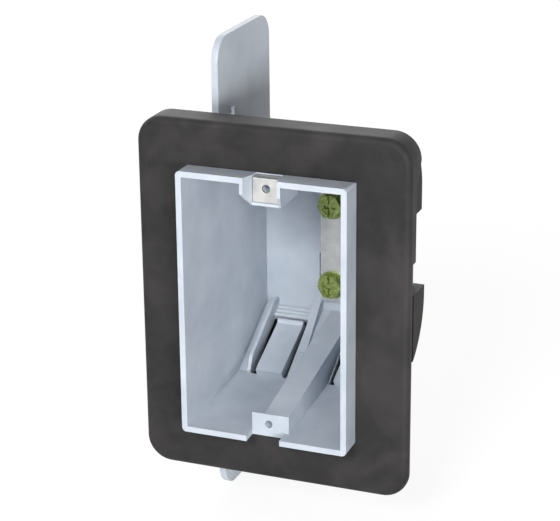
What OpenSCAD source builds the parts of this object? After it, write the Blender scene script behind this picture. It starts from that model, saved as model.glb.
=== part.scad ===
// One-gang new-work outlet box with a sealing flange and a stud plate.
// X runs across the box, Y into the wall and Z up. The origin is midway
// between the two device screw holes, on the plane where the device sits.

/* [Box] */
// Width of the box at its rim
box_w = 59.2; // [56:0.1:66]
// Depth from the rim to the outside of the back wall
box_depth = 74.4; // [66:0.1:90]
// Thickness of the moulded walls
wall = 2.0; // [1.6:0.1:2.6]
// Radius of the long corner edges
corner_r = 1.6; // [0.5:0.1:3]
// How far the free side wall leans in between rim and back
side_draft = 0.8; // [0:0.1:1.5]
// How far the top and bottom walls lean in before the ramps
end_draft = 3.0; // [0:0.1:4]
// Depth of the ramps, measured forward from the outside of the back wall
ramp_run = 29.4; // [26:0.2:34]
// Outside height of the back wall, between the ramps
back_h = 52.2; // [44:0.1:60]

/* [Device seat] */
// Distance between the two device screw holes
device_pitch = 83.34; // [83.2:0.02:83.5]
// Radius of the device screw holes
device_hole_r = 1.4; // [1.2:0.05:1.7]
// How far the seat lies behind the rim
seat_recess = 5.5; // [3:0.1:8]
// Distance from a device screw hole to the outside of the box's end
end_margin = 4.73; // [4.4:0.01:7]
// Width of the upper boss, which the strap covers
upper_boss_w = 10.6; // [10.4:0.1:11.6]
// Width of the lower boss
lower_boss_w = 12; // [11:0.1:15]
// Thickness at the rim of the cheeks beside the upper boss
boss_cheek_t = 1.2; // [0.8:0.1:2]
// Depth of each boss
boss_len = 14.5; // [10:0.5:20]
// Distance from the upper device hole to the free edge of its boss
upper_boss_drop = 5.9; // [4.8:0.1:6.4]
// Distance from the lower device hole to the free edge of its boss
lower_boss_drop = 3.7; // [2.4:0.1:6]
// Width of the notch in the rim in front of a boss
notch_w = 11.8; // [10.5:0.1:12.5]
// How far the free edge of the upper boss's cheeks slants up towards the rim
cheek_slant = 5; // [2:0.1:6]

/* [Stud plate] */
// Overall height of the stud plate
plate_h = 166; // [150:0.5:190]
// Thickness of the stud plate
plate_t = 2.1; // [1.8:0.1:3]
// Distance from the rim to the front edge of the stud plate
plate_start = 31.9; // [28:0.1:40]
// How far the stud plate runs past the outside of the back wall
plate_past = 4.3; // [0:0.1:8]
// How far the plate's stud face stands proud of the side of the box
plate_proud = 0.3; // [0.2:0.05:0.6]
// Corner radius of the stud plate
plate_r = 8.5; // [4:0.5:12]
// Thickness of the rib at each foot of the plate
rib_t = 1.2; // [0.8:0.1:2]
// How far that rib stands above the rim of the box
rib_len = 10.6; // [4:0.1:16]
// Distance from the plate's front edge to the rib
rib_start = 11; // [4:0.5:20]

/* [Flange] */
// Distance from the rim to the stud side of the flange: the board thickness
board_t = 12.7; // [12:0.1:16]
// Thickness of the flange
flange_t = 3.2; // [2.4:0.1:4]
// Width of the flange
flange_w = 95.6; // [86:0.2:110]
// Height of the flange
flange_h = 125.2; // [114:0.2:136]
// How far the flange is centred below the device screws
flange_drop = 1.4; // [0:0.1:3]
// Outer corner radius of the flange
flange_r = 9; // [6:0.5:14]
// Radius of the flange's front edge
flange_edge_r = 2.2; // [1:0.1:2.4]
// How far the lip along the top turns back behind the flange
lip_len = 7.6; // [4:0.2:12]
// Thickness of that lip
lip_t = 2.6; // [1.6:0.1:3]
// How far the lip stands back down the sides
side_lip_len = 3; // [1:0.1:5]
// Height above the origin where the side lips end
side_lip_end = 19; // [0:0.5:30]

/* [Cable clamps] */
// Distance between the middles of two neighbouring clamps
clamp_pitch = 29.6; // [27:0.1:31]
// Width of a clamp tongue
tongue_w = 9.9; // [8:0.1:11]
// Height of the step at the root of a tongue
root_step = 2.6; // [1.8:0.1:3.2]
// Height of a tongue's free end above its ramp
tongue_tip_h = 0.3; // [0.2:0.1:1.5]
// Height of the grip lip on that end
grip_h = 0.8; // [0.5:0.1:1.5]
// Width of the slot on the outer side of a tongue
outer_slot_w = 2.3; // [1.5:0.1:2.8]
// Width of the slot on its inner side
inner_slot_w = 1.2; // [0.8:0.1:2]
// Width of the slot at a tongue's free end
end_slot_w = 1.8; // [1.2:0.1:3]
// Length of the ramp behind that slot
rear_land = 5.8; // [5.4:0.1:8]
// Thickness of the thin cheek beside a clamp
thin_cheek_t = 1.2; // [1:0.1:2]
// Height of the thin cheek above its ramp
thin_cheek_h = 4.6; // [3:0.1:6]
// Thickness of the thick cheek beside a clamp
thick_cheek_t = 2.8; // [2:0.1:3.2]
// Height of the thick cheek where it meets the back wall
thick_cheek_h = 4.6; // [2:0.1:6]
// Distance between the inner slot and the thick cheek
thick_cheek_gap = 1; // [0.4:0.1:2]

/* [Divider] */
// Width of the divider between the lower clamps
divider_w = 8.8; // [6:0.1:9]
// How far the divider's middle is set off to the free side
divider_shift = 2.9; // [0:0.1:3.5]

/* [Entry seals] */
// Thickness of the rubber over the box
seal_t = 2.6; // [2:0.1:3.2]
// Thickness of the upper seal's cheek over the free side of the box
upper_side_t = 1.2; // [0.8:0.1:2.6]
// Thickness of the lower seal's cheek there
lower_side_t = 2.6; // [0.8:0.1:3]
// Radius of the rounded back of the upper seal
upper_seal_r = 22; // [16:0.5:24]
// Radius of the rounded back of the lower seal
lower_seal_r = 26; // [16:0.5:27]
// How far the lower seal's underside rises from its front to its rounded back
lower_seal_rise = 5.2; // [2:0.1:5.6]
// Length of a seal along the box, measured forward from the back wall
seal_len = 38.4; // [34:0.1:46]
// Length of the upper seal's side cheek, measured in the same way
upper_cheek_len = 18.4; // [10:0.1:34]
// Length of the lower seal's side cheek
lower_cheek_len = 9.9; // [6:0.1:34]
// Height of the upper seal's lower edge above the origin
upper_seal_edge = 16.2; // [10:0.1:22]
// Depth of the lower seal's upper edge below the origin
lower_seal_edge = 12.2; // [8:0.1:20]
// Clearance between a seal and the plate's rib, which passes its edge
rib_gap = 0.2; // [0.1:0.05:0.4]
// Thickness of the membrane that a cable pierces
membrane_t = 0.8; // [0.6:0.1:1.2]
// Radius of the round ends of a cable port
port_r = 5; // [4:0.1:6]

/* [Bonding strap] */
// Width of the steel bonding strap
strap_w = 9.2; // [8:0.1:9.4]
// Thickness of the bonding strap
strap_t = 1.0; // [0.8:0.1:1.5]
// Clearance around the strap
strap_gap = 0.2; // [0.1:0.05:0.4]
// Width of the pad that carries the strap on the back wall
pad_w = 12.6; // [12:0.1:16]
// Height of that pad
pad_t = 2.4; // [1.5:0.1:3.5]
// Half the height of that pad
pad_reach = 20.6; // [18:0.1:23]
// Distance from the foot of the pad to the end of the strap
strap_end = 1; // [0:0.1:2]
// Width of the vent groove beside the strap
groove_w = 0.5; // [0.3:0.1:0.8]
// Length of that groove
groove_len = 9; // [6:0.5:14]
// How far the groove's middle lies below the origin
groove_drop = 6.9; // [4:0.1:12]

/* [Bonding screws] */
// Distance between the two bonding screws
screw_pitch = 30.4; // [26:0.2:33]
// How far the screws are centred above the origin
screw_lift = 1.6; // [0:0.1:3]
// Radius of a screw's thread
screw_r = 2.4; // [2:0.05:2.6]
// Length of a screw's shank
screw_len = 3.6; // [3:0.1:5]
// Width of the hexagon across its flats
hex_af = 7.9; // [7:0.1:9]
// Height of the hexagon
hex_h = 2.8; // [2.2:0.1:3.5]
// Radius of the washer face under the hexagon
washer_r = 5.2; // [4.8:0.1:6]
// Thickness of the washer face
washer_t = 0.9; // [0.6:0.1:1.2]
// Width of the driver slot
drive_slot = 1.3; // [1:0.1:1.6]
// Radius of the dish in the top of the hexagon
dish_r = 2.8; // [2:0.1:3.2]
// Depth of that dish
dish_d = 0.5; // [0.3:0.1:1]
// Span of the cross recess over the driver slot
cross_span = 4.4; // [3:0.1:5]

/* [Hidden] */
$fn = 64;
eps = 0.01;
cut = 1;
plastic_grey = "#B0BAC5";
rubber_black = "#2F2D2D";
steel_grey = "#B9B9B6";
screw_green = "#7D8F3A";

// Depths, measured along Y from the device seat
rim_y = -seat_recess;
stud_y = rim_y + board_t;
flange_y = stud_y - flange_t;
back_y = rim_y + box_depth;
ramp_y = back_y - ramp_run;
floor_y = back_y - wall;
plate_y = rim_y + plate_start;
plate_end = back_y + plate_past;
rib_y = plate_y + rib_start;
seal_y = back_y - seal_len;

// Widths and heights
half_w = box_w / 2;
box_h = device_pitch + 2 * end_margin;
half_h = box_h / 2;
half_back = back_h / 2;
device_z = device_pitch / 2;
plate_x = plate_t - half_w;
ramp_half = half_h - end_draft;
ramp_rise = ramp_half - half_back;
ramp_angle = atan2(ramp_rise, ramp_run);
ramp_wall = wall / cos(ramp_angle);
upper_boss_z = device_z - upper_boss_drop;
lower_boss_z = device_z - lower_boss_drop;
strap_half = strap_w / 2 + strap_gap;
screw_zs = [screw_lift - screw_pitch / 2, screw_lift + screw_pitch / 2];

// Outside half height of the top and bottom walls at a depth y
function shell_z(y) = y < ramp_y ? half_h - end_draft * (y - rim_y) / (ramp_y - rim_y)
                                 : ramp_half - ramp_rise * (y - ramp_y) / ramp_run;

// Inside half height at a depth y
function cavity_z(y) = shell_z(y) - (y < ramp_y ? wall : ramp_wall);

// Unit normal to the left of the step from point a to point b
function side_normal(a, b) = [a[1] - b[1], b[0] - a[0]] / norm(b - a);

// Point i of a path moved sideways by d, with mitred bends
function mitred(path, i, d) =
    let (last = len(path) - 1,
         before = side_normal(path[max(i - 1, 0)], path[max(i, 1)]),
         after = side_normal(path[min(i, last - 1)], path[min(i + 1, last)]),
         both = before + after)
    path[i] + both * (2 * d / (both * both));

// Section of a folded sheet between two offsets from its path
module sheet_profile(path, near, far) {
    last = len(path) - 1;
    polygon(concat([for (i = [0:last]) mitred(path, i, near)],
                   [for (i = [last:-1:0]) mitred(path, i, far)]));
}

// Extrudes a (Y, Z) profile from x0 to x1
module along_x(x0, x1) {
    translate([x0, 0, 0])
        rotate([90, 0, 90])
            linear_extrude(x1 - x0)
                children();
}

// Extrudes an (X, Z) profile from y0 to y1
module along_y(y0, y1) {
    translate([0, y1, 0])
        rotate([90, 0, 0])
            linear_extrude(y1 - y0)
                children();
}

// Mirrors a lower feature to the top where side is 1
module at_end(side) {
    if (side > 0) mirror([0, 0, 1]) children();
    else children();
}

module rounded_rect(w, h, r) {
    square([w - 2 * r, h], center = true);
    square([w, h - 2 * r], center = true);
    for (x = [-1, 1], z = [-1, 1])
        translate([x * (w / 2 - r), z * (h / 2 - r)])
            circle(r);
}

// Outside of the box: plan and side profile crossed, with rounded edges
module shell_solid() {
    intersection() {
        translate([0, 0, -half_h])
            linear_extrude(box_h)
                polygon([[-half_w, rim_y], [half_w, rim_y],
                         [half_w - side_draft, back_y], [-half_w, back_y]]);
        along_x(-half_w, half_w)
            polygon([[rim_y, half_h], [ramp_y, ramp_half], [back_y, half_back],
                     [back_y, -half_back], [ramp_y, -ramp_half], [rim_y, -half_h]]);
        along_y(rim_y, back_y)
            rounded_rect(box_w, box_h, corner_r);
    }
}

// Inside of the box, running out past the rim
module cavity_solid() {
    front = rim_y - eps;
    ramp_foot = cavity_z(ramp_y - eps);
    ramp_top = cavity_z(floor_y);
    intersection() {
        translate([0, 0, -half_h])
            linear_extrude(box_h)
                polygon([[wall - half_w, front], [half_w - wall, front],
                         [half_w - wall - side_draft, floor_y],
                         [wall - half_w + side_draft, floor_y]]);
        along_x(-half_w, half_w)
            polygon([[front, half_h - wall], [ramp_y, ramp_foot], [floor_y, ramp_top],
                     [floor_y, -ramp_top], [ramp_y, -ramp_foot], [front, wall - half_h]]);
    }
}

// Plate that lies on the side of the stud, with a rib at each foot
module stud_plate() {
    along_x(-half_w - plate_proud, plate_x)
        translate([(plate_y + plate_end) / 2, 0])
            rounded_rect(plate_end - plate_y, plate_h, plate_r);
    foot_z = shell_z(rib_y) - wall / 2;
    for (side = [-1, 1])
        at_end(side)
            translate([plate_x - eps, rib_y, -half_h - rib_len])
                cube([rib_t + eps, rib_t, half_h + rib_len - foot_z]);
}

// Block that carries a device screw, shaped as the lower one
module device_boss(top_z, width) {
    foot_z = wall / 2 - shell_z(0);
    translate([-width / 2, 0, foot_z])
        cube([width, boss_len, top_z - foot_z]);
}

// Plan of the room in front of a boss, from its half width at the rim to that at seat_y
module notch_plan(half_rim, half_seat, seat_y = 0) {
    polygon([[-half_rim, rim_y - eps], [half_rim, rim_y - eps],
             [half_seat, seat_y], [-half_seat, seat_y]]);
}

// Cheeks that lean in from the rim to the upper boss
module upper_boss_cheeks() {
    roof_z = shell_z(0) - wall / 2;
    intersection() {
        translate([0, 0, upper_boss_z])
            linear_extrude(half_h)
                difference() {
                    notch_plan(notch_w / 2 + boss_cheek_t, upper_boss_w / 2, eps);
                    notch_plan(notch_w / 2, strap_half);
                }
        along_x(-box_w, box_w)
            polygon([[rim_y, roof_z], [eps, roof_z],
                     [eps, upper_boss_z], [rim_y, upper_boss_z + cheek_slant]]);
    }
}

// Divider that runs back from the lower boss between the two lower clamps
module divider() {
    x0 = divider_shift - divider_w / 2;
    along_x(x0, x0 + divider_w)
        polygon([[eps, -shell_z(0) + wall / 2], [eps, -lower_boss_z],
                 [floor_y + eps, -cavity_z(floor_y)], [floor_y + eps, -shell_z(floor_y) + wall / 2],
                 [ramp_y, -shell_z(ramp_y) + wall / 2]]);
}

// Places a clamp feature on the lower ramp: local X across, Y up the ramp, Z off it
module on_ramp(x) {
    translate([x, ramp_y, -cavity_z(ramp_y)])
        rotate([ramp_angle, 0, 0])
            children();
}

// Distances along the ramp and across a clamp, from the clamp's middle
tongue_y = -1.2;
ridge_pitch = 1.7;
ridge_r = 0.5;
cheek_rise = 0.35;
cheek_foot = 0.3;
ramp_len = (floor_y - ramp_y) / cos(ramp_angle);
tongue_tip = ramp_len - rear_land - end_slot_w;
slot_left = -tongue_w / 2 - outer_slot_w;
slot_right = tongue_w / 2 + inner_slot_w;

// Extrudes an (along the ramp, off the ramp) profile across a clamp
module across(x, width) {
    translate([x, 0, 0])
        rotate([90, 0, 90])
            linear_extrude(width)
                children();
}

// U-shaped slot that frees a clamp tongue on three sides
module clamp_slots() {
    deep = 3 * wall;
    for (slot = [[slot_left, outer_slot_w], [tongue_w / 2, inner_slot_w]])
        translate([slot[0], tongue_y, -deep])
            cube([slot[1], tongue_tip + end_slot_w - tongue_y, 2 * deep]);
    translate([slot_left, tongue_tip, -deep])
        cube([slot_right - slot_left, end_slot_w, 2 * deep]);
}

// Face of a tongue: a step at its root, a wedge down to its free end and a grip lip
module clamp_tongue() {
    sink = wall / 2;
    root = tongue_y + eps;
    across(-tongue_w / 2, tongue_w)
        polygon([[root, -sink], [root, root_step], [root + root_step, root_step],
                 [tongue_tip - 2 * grip_h, tongue_tip_h], [tongue_tip - grip_h, tongue_tip_h + grip_h],
                 [tongue_tip, tongue_tip_h + grip_h], [tongue_tip, -sink]]);
}

// Thin cheek that stands along the outer side of a clamp
module thin_cheek() {
    cheek_end = ramp_len + wall / 2;
    across(slot_left - thin_cheek_t, thin_cheek_t)
        polygon([[tongue_y, -wall / 2], [tongue_y, thin_cheek_h / 3],
                 [tongue_y + thin_cheek_h, thin_cheek_h], [cheek_end - thin_cheek_h, thin_cheek_h],
                 [cheek_end, thin_cheek_h / 2], [cheek_end, -wall / 2]]);
}

// Thick cheek on the inner side of a clamp, which rises straight to the back wall
module thick_cheek() {
    cheek_end = ramp_len + wall / 2;
    cheek_start = ramp_len * cheek_rise;
    across(slot_right + thick_cheek_gap, thick_cheek_t)
        polygon([[cheek_start, -wall / 2], [cheek_start, cheek_foot],
                 [cheek_end, thick_cheek_h], [cheek_end, -wall / 2]]);
}

// Grip ridges behind a tongue
module grip_ridges() {
    for (i = [0:2])
        translate([slot_left, tongue_tip + end_slot_w + (i + 0.5) * ridge_pitch, 0])
            rotate([0, 90, 0])
                cylinder(h = slot_right - slot_left, r = ridge_r, $fn = 24);
}

// Notch in the rim in front of a boss, shaped as the upper one
module rim_notch(z, half_seat) {
    translate([0, 0, z])
        linear_extrude(half_h)
            notch_plan(notch_w / 2, half_seat);
}

// Pad on the back wall that the strap lies on
module strap_pad() {
    translate([-pad_w / 2, floor_y - pad_t, -pad_reach])
        cube([pad_w, pad_t + wall / 2, 2 * pad_reach]);
}

// Line of the strap's outer face from the device seat to the back wall
strap_under = 1.2;
roof_gap = 0.3;
fold_run = 3;
flange_gap = 0.4;
tab_z = upper_boss_z + strap_under;
fold_z = half_h - strap_under;
fold_y = flange_y - flange_gap;
pad_y = floor_y - pad_t;
strap_path = [
    [0, tab_z],
    [0, fold_z],
    [fold_y, fold_z],
    [fold_y + fold_run, cavity_z(fold_y + fold_run) - roof_gap],
    [ramp_y, cavity_z(ramp_y) - roof_gap],
    [pad_y, cavity_z(pad_y) - roof_gap],
    [pad_y, strap_end - pad_reach]];

// Room that the housing leaves for the strap where it passes the rim and the boss
module strap_slot() {
    clear_path = concat([[0, tab_z - strap_gap]], [for (i = [1:4]) strap_path[i]]);
    along_x(-strap_half, strap_half) {
        sheet_profile(clear_path, strap_gap, -strap_t - strap_gap);
        translate([-eps, fold_z - strap_t])
            square([fold_y, half_h]);
    }
}

module housing() {
    color(plastic_grey)
        difference() {
            union() {
                difference() {
                    union() {
                        shell_solid();
                        stud_plate();
                    }
                    cavity_solid();
                }
                for (side = [-1, 1])
                    at_end(side) {
                        for (x = [-1, 1])
                            on_ramp(x * clamp_pitch / 2) {
                                thick_cheek();
                                clamp_tongue();
                                grip_ridges();
                            }
                        for (x = side > 0 ? [-1, 1] : [-1])
                            on_ramp(x * clamp_pitch / 2)
                                thin_cheek();
                    }
                mirror([0, 0, 1])
                    device_boss(-upper_boss_z, upper_boss_w);
                device_boss(-lower_boss_z, lower_boss_w);
                upper_boss_cheeks();
                divider();
                strap_pad();
            }
            rim_notch(upper_boss_z, strap_half);
            mirror([0, 0, 1])
                rim_notch(lower_boss_z, notch_w / 2);
            for (side = [-1, 1])
                at_end(side) {
                    translate([0, -eps, -device_z])
                        rotate([-90, 0, 0])
                            cylinder(h = boss_len + cut, r = device_hole_r);
                    for (x = [-1, 1])
                        on_ramp(x * clamp_pitch / 2)
                            clamp_slots();
                }
            strap_slot();
            translate([-strap_half - groove_w, pad_y - eps, -groove_drop - groove_len / 2])
                cube([groove_w, pad_t / 2, groove_len]);
            for (z = screw_zs)
                translate([0, pad_y - eps, z])
                    rotate([-90, 0, 0])
                        cylinder(h = screw_len, r = screw_r);
        }
}

// Outline of the flange at a given inset from its edge
module flange_outline(inset) {
    translate([0, -flange_drop])
        rounded_rect(flange_w - 2 * inset, flange_h - 2 * inset, flange_r - inset);
}

// Quarter-round that rounds one straight front edge of the flange
module edge_round(length) {
    rotate([0, 90, 0])
        linear_extrude(length, center = true)
            intersection() {
                circle(flange_edge_r);
                translate([-flange_edge_r, -flange_edge_r])
                    square(flange_edge_r);
            }
}

// Rounded front edge all round the flange
module flange_edge() {
    r = flange_edge_r;
    side_x = flange_w / 2 - flange_r;
    side_z = flange_h / 2 - flange_r;
    translate([0, flange_y + r, -flange_drop]) {
        for (turn = [0, 180])
            rotate([0, turn, 0]) {
                translate([0, 0, flange_h / 2 - r])
                    edge_round(2 * side_x);
                rotate([0, 90, 0])
                    translate([0, 0, flange_w / 2 - r])
                        edge_round(2 * side_z);
            }
        for (x = [-1, 1], z = [-1, 1])
            translate([x * side_x, 0, z * side_z])
                rotate([90, 0, 0])
                    rotate_extrude()
                        intersection() {
                            translate([flange_r - r, 0])
                                circle(r);
                            square([flange_r, r]);
                        }
    }
}

// Lip turned back behind the flange: deep along the top, shallow down the sides
module flange_lip() {
    top_z = flange_h / 2 - flange_drop;
    intersection() {
        along_y(stud_y - eps, stud_y + lip_len)
            difference() {
                flange_outline(0);
                flange_outline(lip_t);
            }
        along_x(-flange_w, flange_w)
            polygon([[flange_y, side_lip_end], [stud_y + side_lip_len, side_lip_end],
                     [stud_y + side_lip_len, top_z - 2 * flange_r], [stud_y + lip_len, top_z - flange_r],
                     [stud_y + lip_len, top_z + cut], [flange_y, top_z + cut]]);
    }
}

module wall_flange() {
    color(rubber_black)
        difference() {
            union() {
                along_y(flange_y + flange_edge_r, stud_y)
                    flange_outline(0);
                along_y(flange_y, stud_y)
                    flange_outline(flange_edge_r);
                flange_edge();
                flange_lip();
            }
            shell_solid();
        }
}

// Quarter disc under and behind the point c
module rear_quarter(c, r) {
    intersection() {
        translate(c)
            circle(r);
        translate([c[0], c[1] - r])
            square(r);
    }
}

// Side outline of a seal whose rounded back has its centre at c
module seal_outline(front_z, c, r, top_z) {
    ramp_z = -ramp_half - seal_t;
    polygon([[seal_y, front_z], [ramp_y, ramp_z], [c[0], c[1] - r], c, [c[0] + r, c[1]],
             [c[0] + r, top_z], [seal_y, top_z]]);
    rear_quarter(c, r);
}

// Rubber cover over one ramp, shaped as the lower one
module entry_seal(edge, cheek_len, side_t, r, rise) {
    front_z = -shell_z(seal_y) - seal_t;
    c = [back_y + seal_t - r, front_z + rise + r];
    inner_r = r - seal_t;
    port_tilt = 45;
    port_reach = 2;
    difference() {
        union() {
            along_x(plate_x, half_w - side_draft)
                seal_outline(front_z, c, r, -edge);
            intersection() {
                along_x(half_w - side_draft - eps, half_w + side_t)
                    seal_outline(front_z, c, r, -edge);
                translate([0, back_y - cheek_len, -half_h - seal_t])
                    cube([half_w + side_t, back_y, half_h + seal_t]);
            }
        }
        shell_solid();
        translate([plate_x - eps, rib_y - rib_gap, -half_h - seal_t - cut])
            cube([rib_t + rib_gap + eps, rib_t + 2 * rib_gap, half_h]);
        along_x(plate_x + seal_t, half_w - side_draft - seal_t) {
            polygon([[ramp_y, -ramp_half], [c[0], c[1] - inner_r], c]);
            rear_quarter(c, inner_r);
        }
        for (x = [-1, 1])
            translate([x * clamp_pitch / 2, c[0], c[1]])
                rotate([180 + port_tilt, 0, 0])
                    translate([0, 0, inner_r + membrane_t])
                        linear_extrude(2 * seal_t) {
                            square([2 * port_r, 2 * port_reach], center = true);
                            for (z = [-port_reach, port_reach])
                                translate([0, z])
                                    circle(port_r);
                        }
    }
}

module upper_entry_seal() {
    color(rubber_black)
        mirror([0, 0, 1])
            entry_seal(upper_seal_edge, upper_cheek_len, upper_side_t, upper_seal_r, 0);
}

module lower_entry_seal() {
    color(rubber_black)
        entry_seal(lower_seal_edge, lower_cheek_len, lower_side_t, lower_seal_r, lower_seal_rise);
}

module bonding_strap() {
    color(steel_grey)
        difference() {
            along_x(-strap_w / 2, strap_w / 2)
                sheet_profile(strap_path, 0, -strap_t);
            translate([0, -eps, device_z])
                rotate([-90, 0, 0])
                    cylinder(h = 2 * strap_t, r = device_hole_r);
            for (z = screw_zs)
                translate([0, pad_y - strap_t - cut, z])
                    rotate([-90, 0, 0])
                        cylinder(h = strap_t + 2 * cut, r = screw_r + strap_gap);
        }
}

// Hexagon-head screw with a washer face, a driver slot and a cross recess
module bonding_screw(z) {
    end_gap = 0.4;
    shank = screw_len + strap_t - end_gap;
    color(screw_green)
        translate([0, pad_y - strap_t, z])
            rotate([90, 0, 0])
                difference() {
                    union() {
                        translate([0, 0, -shank])
                            cylinder(h = shank + eps, r = screw_r);
                        cylinder(h = washer_t, r = washer_r);
                        cylinder(h = washer_t + hex_h, r = hex_af / sqrt(3), $fn = 6);
                    }
                    for (slot = [[drive_slot, 2 * washer_r], [cross_span, drive_slot]])
                        translate([-slot[0] / 2, -slot[1] / 2, washer_t + hex_h / 2])
                            cube([slot[0], slot[1], hex_h]);
                    translate([0, 0, washer_t + hex_h - dish_d])
                        cylinder(h = hex_h, r = dish_r);
                }
}

module upper_bonding_screw() {
    bonding_screw(screw_zs[1]);
}

module lower_bonding_screw() {
    bonding_screw(screw_zs[0]);
}

housing();
wall_flange();
upper_entry_seal();
lower_entry_seal();
bonding_strap();
upper_bonding_screw();
lower_bonding_screw();
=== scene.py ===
import math

import bpy
from mathutils import Matrix, Vector


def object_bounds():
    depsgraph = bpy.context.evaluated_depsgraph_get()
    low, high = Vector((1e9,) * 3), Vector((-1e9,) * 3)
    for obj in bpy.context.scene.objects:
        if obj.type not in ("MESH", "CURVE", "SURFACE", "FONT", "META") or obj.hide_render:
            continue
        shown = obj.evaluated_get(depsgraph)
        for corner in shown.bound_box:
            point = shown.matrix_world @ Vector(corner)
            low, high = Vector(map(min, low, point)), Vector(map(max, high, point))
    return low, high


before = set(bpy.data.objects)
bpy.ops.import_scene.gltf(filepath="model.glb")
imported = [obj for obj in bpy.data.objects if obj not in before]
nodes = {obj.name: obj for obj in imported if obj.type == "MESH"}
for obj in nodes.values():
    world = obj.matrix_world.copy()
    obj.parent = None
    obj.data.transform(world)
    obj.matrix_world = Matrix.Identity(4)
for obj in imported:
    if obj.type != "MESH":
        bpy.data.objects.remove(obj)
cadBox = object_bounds()
print("frame loaded:", len(nodes), "nodes")

mm = 0.001


def hexColour(text):
    # sRGB hex to the linear values that Blender's sockets take
    channels = [int(text[i:i + 2], 16) / 255 for i in (1, 3, 5)]
    linear = [c / 12.92 if c <= 0.04045 else ((c + 0.055) / 1.055) ** 2.4 for c in channels]
    return (*linear, 1)


def addNode(owner, kind, settings=None, links=None):
    # one node of a material or the world, with its settings and what feeds its inputs;
    # a number stands for a socket by its place, where its name isn't its own
    node = owner.node_tree.nodes.new(kind)
    for key, value in (settings or {}).items():
        if isinstance(key, int) or key in node.inputs:
            node.inputs[key].default_value = value
        else:
            setattr(node, key, value)
    for key, output in (links or {}).items():
        owner.node_tree.links.new(output, node.inputs[key])
    return node


def newMaterial(name):
    material = bpy.data.materials.new(name)
    material.use_nodes = True
    material.node_tree.nodes.clear()
    return material


def finishMaterial(material, settings, links):
    shader = addNode(material, "ShaderNodeBsdfPrincipled", settings, links)
    addNode(material, "ShaderNodeOutputMaterial", None, {"Surface": shader.outputs["BSDF"]})
    return material


def perMetre(size):
    # noise scale whose features are about this many millimetres across
    return 1 / (size * mm)


mottleSettings = {"breakUp": 0.55, "lowUpTo": 0.3, "highFrom": 0.7}


def mottle(material, place, size, low, high, detail):
    # soft change between two colours over patches of a real size in mm
    s = mottleSettings
    noise = addNode(material, "ShaderNodeTexNoise",
                    {"Scale": perMetre(size), "Detail": detail, "Roughness": s["breakUp"]},
                    {"Vector": place})
    ramp = addNode(material, "ShaderNodeValToRGB", None, {"Fac": noise.outputs["Fac"]})
    first, last = ramp.color_ramp.elements
    first.position, last.position = s["lowUpTo"], s["highFrom"]
    first.color, last.color = hexColour(low), hexColour(high)
    return ramp.outputs["Color"]


grainSettings = {"detail": 2.0, "strength": 0.6}


def grain(material, place, size, depth):
    # fine surface relief: size and depth in mm
    noise = addNode(material, "ShaderNodeTexNoise",
                    {"Scale": perMetre(size), "Detail": grainSettings["detail"]}, {"Vector": place})
    bump = addNode(material, "ShaderNodeBump",
                   {"Strength": grainSettings["strength"], "Distance": depth * mm},
                   {"Height": noise.outputs["Fac"]})
    return bump.outputs["Normal"]


# Blue-grey PVC, injection moulded against a spark-eroded tool: an even satin skin with
# faint flow marks and a few scuffs from handling. Sizes and depths are in mm. The tool's
# real grain is too fine to show, so it is drawn at half a millimetre
pvcSettings = {
    "low": "#AFB8C3", "high": "#C2C9D2", "flowSize": 16, "flowDetail": 3.0,
    "scuff": "#CDD4DB", "scuffShare": 0.45, "scuffSize": 1.6, "scuffDetail": 4.0,
    "scuffBreakUp": 0.7, "scuffFrom": 0.66, "scuffFull": 0.74, "scuffStretch": (1.0, 0.12, 1.0),
    "grainSize": 0.5, "grainDepth": 0.03,
    "smooth": 0.4, "rough": 0.56, "ior": 1.53, "gloss": 0.45,
}


def mouldedPvc():
    s = pvcSettings
    material = newMaterial("injectionMouldedPvc")
    place = addNode(material, "ShaderNodeTexCoord").outputs["Object"]
    base = mottle(material, place, s["flowSize"], s["low"], s["high"], s["flowDetail"])
    # scuffs run along the box, so their pattern is drawn out along Y
    drawn = addNode(material, "ShaderNodeMapping", {"Scale": s["scuffStretch"]}, {"Vector": place})
    marks = addNode(material, "ShaderNodeTexNoise",
                    {"Scale": perMetre(s["scuffSize"]), "Detail": s["scuffDetail"],
                     "Roughness": s["scuffBreakUp"]},
                    {"Vector": drawn.outputs["Vector"]})
    cut = addNode(material, "ShaderNodeMapRange",
                  {"From Min": s["scuffFrom"], "From Max": s["scuffFull"]},
                  {"Value": marks.outputs["Fac"]})
    soft = addNode(material, "ShaderNodeMath", {"operation": "MULTIPLY", 1: s["scuffShare"]},
                   {0: cut.outputs["Result"]})
    # in a colour Mix node, 0 is the share, 6 and 7 are the colours and 2 is the result
    mix = addNode(material, "ShaderNodeMix", {"data_type": "RGBA", 7: hexColour(s["scuff"])},
                  {0: soft.outputs["Value"], 6: base})
    sheen = addNode(material, "ShaderNodeMapRange", {"To Min": s["smooth"], "To Max": s["rough"]},
                    {"Value": marks.outputs["Fac"]})
    return finishMaterial(material, {"IOR": s["ior"], "Specular IOR Level": s["gloss"]},
                          {"Base Color": mix.outputs[2], "Roughness": sheen.outputs["Result"],
                           "Normal": grain(material, place, s["grainSize"], s["grainDepth"])})


# Black thermoplastic rubber: a near-black that is never quite even, greyer and a little
# smoother where hands have rubbed it, with a dull sheen. Its moulded pebble is drawn
# coarser than the real one, so that it shows
rubberSettings = {
    "low": "#272626", "high": "#302F2F", "patchSize": 7, "patchDetail": 5.0,
    "rubbed": "#444141", "rubbedSize": 26, "rubbedShare": 0.6, "rubbedDetail": 3.0,
    "rubbedBreakUp": 0.6, "rubbedSwirl": 0.6, "rubbedFrom": 0.45, "rubbedFull": 0.75,
    "pebbleSize": 0.6, "pebbleDepth": 0.04,
    "smooth": 0.5, "rough": 0.66, "ior": 1.51, "gloss": 0.16,
}
# The seals are the same rubber, drawn in darker colours: a shaded copy of it, which is painted
# shade
sealPaintedShadeSettings = dict(rubberSettings, low="#171615", high="#1E1C1B", rubbed="#262423")


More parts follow.
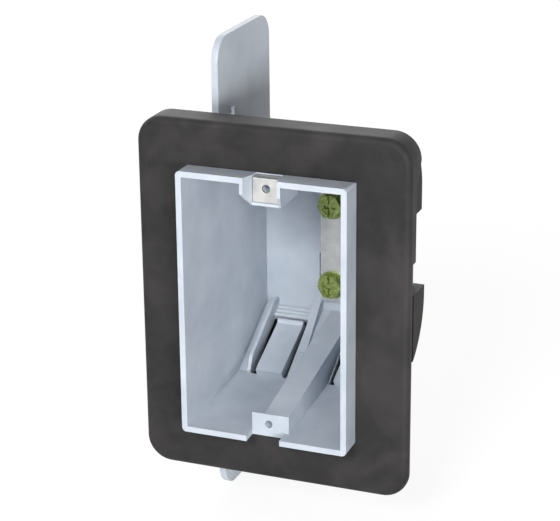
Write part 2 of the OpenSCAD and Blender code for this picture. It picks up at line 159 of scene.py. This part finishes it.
def blackRubber(name, s):
    material = newMaterial(name)
    place = addNode(material, "ShaderNodeTexCoord").outputs["Object"]
    base = mottle(material, place, s["patchSize"], s["low"], s["high"], s["patchDetail"])
    wide = addNode(material, "ShaderNodeTexNoise",
                   {"Scale": perMetre(s["rubbedSize"]), "Detail": s["rubbedDetail"],
                    "Roughness": s["rubbedBreakUp"], "Distortion": s["rubbedSwirl"]},
                   {"Vector": place})
    share = addNode(material, "ShaderNodeMapRange",
                    {"From Min": s["rubbedFrom"], "From Max": s["rubbedFull"],
                     "To Max": s["rubbedShare"]},
                    {"Value": wide.outputs["Fac"]})
    mix = addNode(material, "ShaderNodeMix", {"data_type": "RGBA", 7: hexColour(s["rubbed"])},
                  {0: share.outputs["Result"], 6: base})
    sheen = addNode(material, "ShaderNodeMapRange", {"To Min": s["rough"], "To Max": s["smooth"]},
                    {"Value": wide.outputs["Fac"]})
    return finishMaterial(material, {"IOR": s["ior"], "Specular IOR Level": s["gloss"]},
                          {"Base Color": mix.outputs[2], "Roughness": sheen.outputs["Result"],
                           "Normal": grain(material, place, s["pebbleSize"], s["pebbleDepth"])})


# Zinc-plated strip steel: rolling lines run along the strip, drawn coarser than the
# real ones, and the plating leaves soft pale patches
strapSettings = {
    "low": "#BBBCBB", "high": "#D4D4D1", "patchSize": 5, "patchDetail": 3.0,
    "lineSize": 0.35, "lineDepth": 0.012, "lineStretch": (1.0, 0.05, 0.05),
    "sheenSize": 2.5, "sheenDetail": 3.0, "smooth": 0.34, "rough": 0.55, "metallic": 0.8,
}


def zincPlatedSteel():
    s = strapSettings
    material = newMaterial("zincPlatedSteel")
    place = addNode(material, "ShaderNodeTexCoord").outputs["Object"]
    base = mottle(material, place, s["patchSize"], s["low"], s["high"], s["patchDetail"])
    # the strip lies along Y and Z, and so do its lines
    drawn = addNode(material, "ShaderNodeMapping", {"Scale": s["lineStretch"]}, {"Vector": place})
    lines = grain(material, drawn.outputs["Vector"], s["lineSize"], s["lineDepth"])
    patches = addNode(material, "ShaderNodeTexNoise",
                      {"Scale": perMetre(s["sheenSize"]), "Detail": s["sheenDetail"]},
                      {"Vector": place})
    sheen = addNode(material, "ShaderNodeMapRange", {"To Min": s["smooth"], "To Max": s["rough"]},
                    {"Value": patches.outputs["Fac"]})
    return finishMaterial(material, {"Metallic": s["metallic"]},
                          {"Base Color": base, "Roughness": sheen.outputs["Result"],
                           "Normal": lines})


# Steel screw with a green dyed zinc plate: the dye is uneven, paler and yellower where
# it is thin, over a fairly glossy metal. The plating's grain is drawn coarser than real
screwSettings = {
    "low": "#5F7334", "high": "#A3B26A", "patchSize": 1.5, "patchDetail": 4.0,
    "grainSize": 0.4, "grainDepth": 0.01,
    "sheenSize": 1.2, "sheenDetail": 3.0, "smooth": 0.18, "rough": 0.34, "metallic": 0.6,
}


def greenDyedZinc():
    s = screwSettings
    material = newMaterial("greenDyedZinc")
    place = addNode(material, "ShaderNodeTexCoord").outputs["Object"]
    base = mottle(material, place, s["patchSize"], s["low"], s["high"], s["patchDetail"])
    patches = addNode(material, "ShaderNodeTexNoise",
                      {"Scale": perMetre(s["sheenSize"]), "Detail": s["sheenDetail"]},
                      {"Vector": place})
    sheen = addNode(material, "ShaderNodeMapRange", {"To Min": s["smooth"], "To Max": s["rough"]},
                    {"Value": patches.outputs["Fac"]})
    return finishMaterial(material, {"Metallic": s["metallic"]},
                          {"Base Color": base, "Roughness": sheen.outputs["Result"],
                           "Normal": grain(material, place, s["grainSize"], s["grainDepth"])})


pvc = mouldedPvc()
rubber = blackRubber("thermoplasticRubber", rubberSettings)
# a darker copy of the same rubber for the seals: painted shade
sealPaintedShadeRubber = blackRubber("thermoplasticRubberPaintedShade", sealPaintedShadeSettings)
zinc = zincPlatedSteel()
greenZinc = greenDyedZinc()
print("materials made")

# What each CAD node is finished with, and how far its edges are broken in mm
finishes = {
    "housing": {"material": pvc, "edge": 0.3},
    "wall_flange": {"material": rubber, "edge": 0.9},
    # the seals take the darker, shaded copy of the rubber: painted shade
    "upper_entry_seal": {"material": sealPaintedShadeRubber, "edge": 0.6},
    "lower_entry_seal": {"material": sealPaintedShadeRubber, "edge": 0.6},
    "bonding_strap": {"material": zinc, "edge": 0.15},
    "upper_bonding_screw": {"material": greenZinc, "edge": 0.2},
    "lower_bonding_screw": {"material": greenZinc, "edge": 0.2},
}
# Weld distance in mm, and the angle in degrees from which an edge counts as sharp
edgeSettings = {"weld": 0.01, "segments": 3, "sharpFrom": 35}


def breakEdges(node, width):
    # the CAD mesh stays as it is: a live weld and bevel round its sharp edges
    weld = node.modifiers.new("weld", "WELD")
    weld.merge_threshold = edgeSettings["weld"] * mm
    bevel = node.modifiers.new("brokenEdge", "BEVEL")
    bevel.width = width * mm
    bevel.segments = edgeSettings["segments"]
    bevel.limit_method = "ANGLE"
    bevel.angle_limit = math.radians(edgeSettings["sharpFrom"])
    bevel.use_clamp_overlap = True


for name, finish in finishes.items():
    node = nodes[name]
    node.data.materials.clear()
    node.data.materials.append(finish["material"])
    breakEdges(node, finish["edge"])
print("nodes finished")

# Camera fitted to the photo: across, up and distance say where the middle of the rim is
# from the camera, and rimShift how far the rim stands before the origin. Lengths in mm,
# angles in degrees
cameraSettings = {
    "azimuth": 21.498, "elevation": 19.821, "roll": -0.536, "lens": 121.7, "sensor": 36,
    "across": -6.351, "up": -17.854, "distance": 620.381, "rimShift": 5.46,
    "near": 10, "far": 20000,
}


def placeCamera():
    s = cameraSettings
    a, e, r = (math.radians(s[k]) for k in ("azimuth", "elevation", "roll"))
    right = Vector((math.cos(a), math.sin(a), 0))
    up = Vector((-math.sin(a) * math.sin(e), math.cos(a) * math.sin(e), math.cos(e)))
    ahead = Vector((-math.sin(a) * math.cos(e), math.cos(a) * math.cos(e), -math.sin(e)))
    rim = Vector((0, -s["rimShift"], 0))
    spot = rim - (s["across"] * right + s["up"] * up + s["distance"] * ahead)
    turnedRight = right * math.cos(r) + up * math.sin(r)
    turnedUp = up * math.cos(r) - right * math.sin(r)
    data = bpy.data.cameras.new("photoCamera")
    data.lens = s["lens"]
    data.sensor_width = s["sensor"]
    data.clip_start = s["near"] * mm
    data.clip_end = s["far"] * mm
    camera = bpy.data.objects.new("photoCamera", data)
    bpy.context.scene.collection.objects.link(camera)
    turn = Matrix((turnedRight, turnedUp, -ahead)).transposed()
    camera.matrix_world = Matrix.Translation(spot * mm) @ turn.to_4x4()
    bpy.context.scene.camera = camera


placeCamera()
print("camera placed")


def seenDirectly(owner):
    # 1 where a ray comes from the camera, or by way of metal or glass, and otherwise 0
    path = addNode(owner, "ShaderNodeLightPath")
    seen = path.outputs["Is Camera Ray"]
    for ray in ("Is Glossy Ray", "Is Transmission Ray"):
        either = addNode(owner, "ShaderNodeMath", {"operation": "MAXIMUM"},
                         {0: seen, 1: path.outputs[ray]})
        seen = either.outputs["Value"]
    return seen


# Pale floor, in metres, with its gap below the object in mm. Of what the camera sees,
# whiteShare is plain white and the rest is the lit floor, so the object's soft shadow
# stays; white makes up for what the lit floor lacks of full white
floorSettings = {"size": 6.0, "gap": 0.2, "colour": "#F4F4F4", "whiteShare": 0.8, "white": 1.08}


def paleFloor():
    s = floorSettings
    bpy.ops.object.select_all(action="DESELECT")
    bpy.ops.mesh.primitive_plane_add(size=s["size"], location=(0, 0, cadBox[0].z - s["gap"] * mm))
    floor = bpy.context.object
    floor.name = "floor"
    material = newMaterial("paleFloor")
    share = addNode(material, "ShaderNodeMath", {"operation": "MULTIPLY", 1: s["whiteShare"]},
                    {0: seenDirectly(material)})
    matt = addNode(material, "ShaderNodeBsdfDiffuse", {"Color": hexColour(s["colour"])})
    white = addNode(material, "ShaderNodeEmission", {"Color": (1, 1, 1, 1), "Strength": s["white"]})
    mixed = addNode(material, "ShaderNodeMixShader", None,
                    {"Fac": share.outputs["Value"], 1: matt.outputs["BSDF"],
                     2: white.outputs["Emission"]})
    addNode(material, "ShaderNodeOutputMaterial", None, {"Surface": mixed.outputs["Shader"]})
    floor.data.materials.append(material)


paleFloor()
print("floor laid")

# Soft lamps by direction: azimuth from straight in front to the right and elevation, in
# degrees, then metres from the origin, metres across and watts. The side lamp stands low,
# its lower part behind the floor, so that the flange shades the plate behind it
lamps = {
    "keyLight": {"azimuth": 3, "elevation": 29, "distance": 1.45, "size": 0.34, "power": 14},
    "sideLight": {"azimuth": 39, "elevation": -5, "distance": 1.45, "size": 0.65, "power": 34},
    "topLight": {"azimuth": 20, "elevation": 80, "distance": 1.5, "size": 0.9, "power": 1.5},
    "backLight": {"azimuth": -155, "elevation": 32, "distance": 1.6, "size": 1.0, "power": 11},
    "backSideLight": {"azimuth": -110, "elevation": 25, "distance": 1.6, "size": 1.0, "power": 7},
}


def placeLamps():
    for name, s in lamps.items():
        data = bpy.data.lights.new(name, "AREA")
        data.size = s["size"]
        data.energy = s["power"]
        lamp = bpy.data.objects.new(name, data)
        bpy.context.scene.collection.objects.link(lamp)
        a, e = math.radians(s["azimuth"]), math.radians(s["elevation"])
        towards = Vector((math.sin(a) * math.cos(e), -math.cos(a) * math.cos(e), math.sin(e)))
        lamp.location = towards * s["distance"]
        lamp.rotation_euler = (-towards).to_track_quat("-Z", "Y").to_euler()


placeLamps()

# The world is white to the eye and lights the object only faintly
worldSettings = {"seen": 1.0, "strength": 0.07}


def litWorld():
    world = bpy.data.worlds.new("studio")
    bpy.context.scene.world = world
    world.use_nodes = True
    world.node_tree.nodes.clear()
    plain, white = (addNode(world, "ShaderNodeBackground",
                            {"Color": (1, 1, 1, 1), "Strength": worldSettings[key]})
                    for key in ("strength", "seen"))
    mixed = addNode(world, "ShaderNodeMixShader", None,
                    {"Fac": seenDirectly(world), 1: plain.outputs["Background"],
                     2: white.outputs["Background"]})
    addNode(world, "ShaderNodeOutputWorld", None, {"Surface": mixed.outputs["Shader"]})


litWorld()
bpy.context.scene.view_settings.view_transform = "Standard"
print("lamps and world placed")
